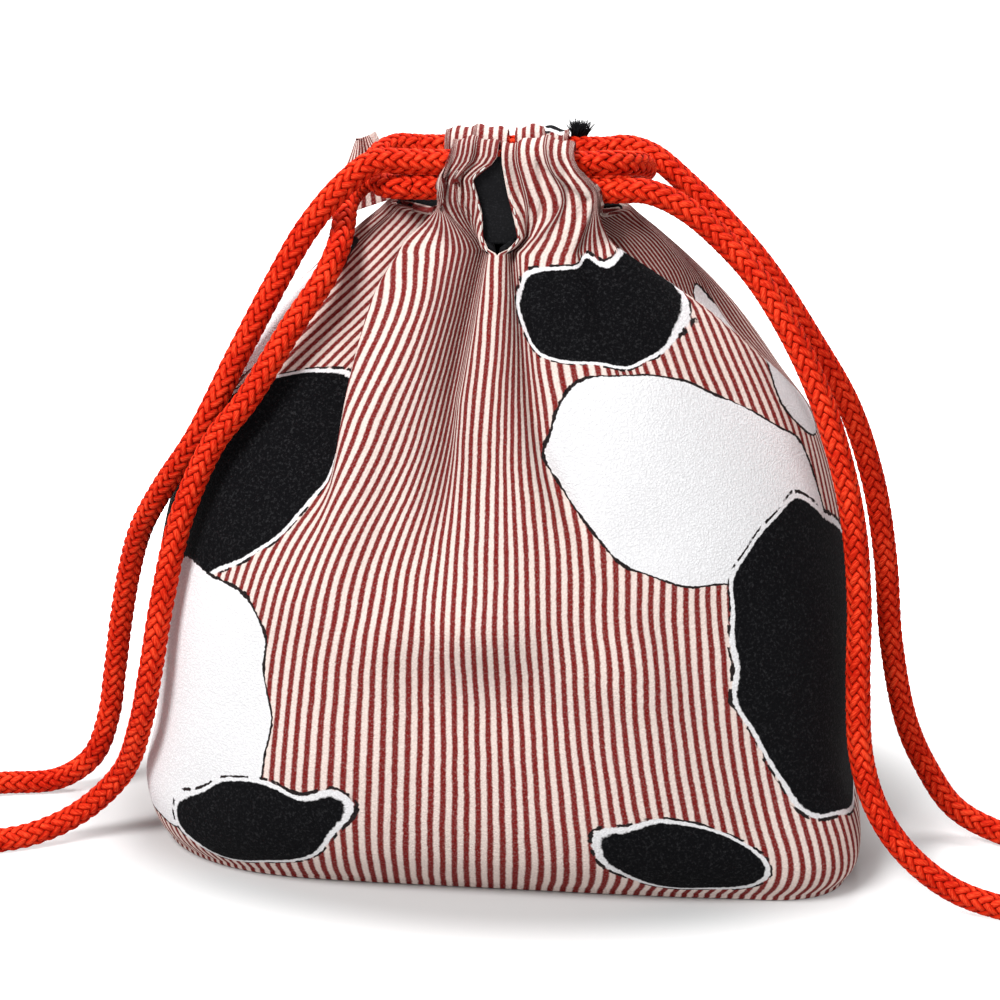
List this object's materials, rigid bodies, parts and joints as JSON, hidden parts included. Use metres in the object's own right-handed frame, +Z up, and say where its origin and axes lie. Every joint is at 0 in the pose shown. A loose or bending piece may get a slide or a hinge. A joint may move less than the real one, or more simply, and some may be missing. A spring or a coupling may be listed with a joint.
{
  "type": "drawstring pouch",
  "caption": "Small cloth drawstring pouch with a stiff flat base, a gathered mouth with casing tabs, and pull cords that leave on opposite sides.",
  "frame": {"origin": "middle of the flat base, on the surface the pouch stands on", "axes": "+Z up, +X to the right and across the wide side of the pouch, the front with the open slit looks along -Y"},
  "size_m": [0.378, 0.108, 0.1508],
  "materials": {
    "printed_cloth": "matte woven crepe with a dark red and cream stripe print",
    "black_lining": "matte plain weave",
    "base_stiffener": "matte board",
    "red_cord": "matte braided polyester"
  },
  "bodies": {
    "pouch": {"outer_front": "printed_cloth", "outer_back": "printed_cloth", "outer_base": "printed_cloth", "base_board": "base_stiffener", "lining_front": "black_lining", "lining_back": "black_lining", "lining_base": "black_lining", "left_cord_turn": "red_cord", "right_cord_turn": "red_cord"},
    "front_mouth": {"front_left_tab": "printed_cloth", "front_right_tab": "printed_cloth", "left_cord_front_run": "red_cord", "right_cord_front_run": "red_cord"},
    "back_mouth": {"back_left_tab": "printed_cloth", "back_right_tab": "printed_cloth", "left_cord_back_run": "red_cord", "right_cord_back_run": "red_cord"},
    "left_cord": {"left_front_strand": "red_cord", "left_back_strand": "red_cord", "left_knot": "red_cord"},
    "right_cord": {"right_front_strand": "red_cord", "right_back_strand": "red_cord", "right_knot": "red_cord"}
  },
  "joints": [
    {"name": "front_mouth_open", "type": "hinge", "parent": "pouch", "child": "front_mouth", "pos_m": [0, -0.0186, 0.131], "axis": [1, 0, 0], "range_deg": [0, 12]},
    {"name": "back_mouth_open", "type": "hinge", "parent": "pouch", "child": "back_mouth", "pos_m": [0, 0.0186, 0.131], "axis": [-1, 0, 0], "range_deg": [0, 12]},
    {"name": "left_cord_pull", "type": "slide", "parent": "pouch", "child": "left_cord", "axis": [-1, 0, 0], "range_m": [0, 0.012]},
    {"name": "right_cord_pull", "type": "slide", "parent": "pouch", "child": "right_cord", "axis": [1, 0, 0], "range_m": [0, 0.012]}
  ],
  "couplings": [
    {"joint": "back_mouth_open", "follows": "front_mouth_open", "ratio": 1}
  ]
}
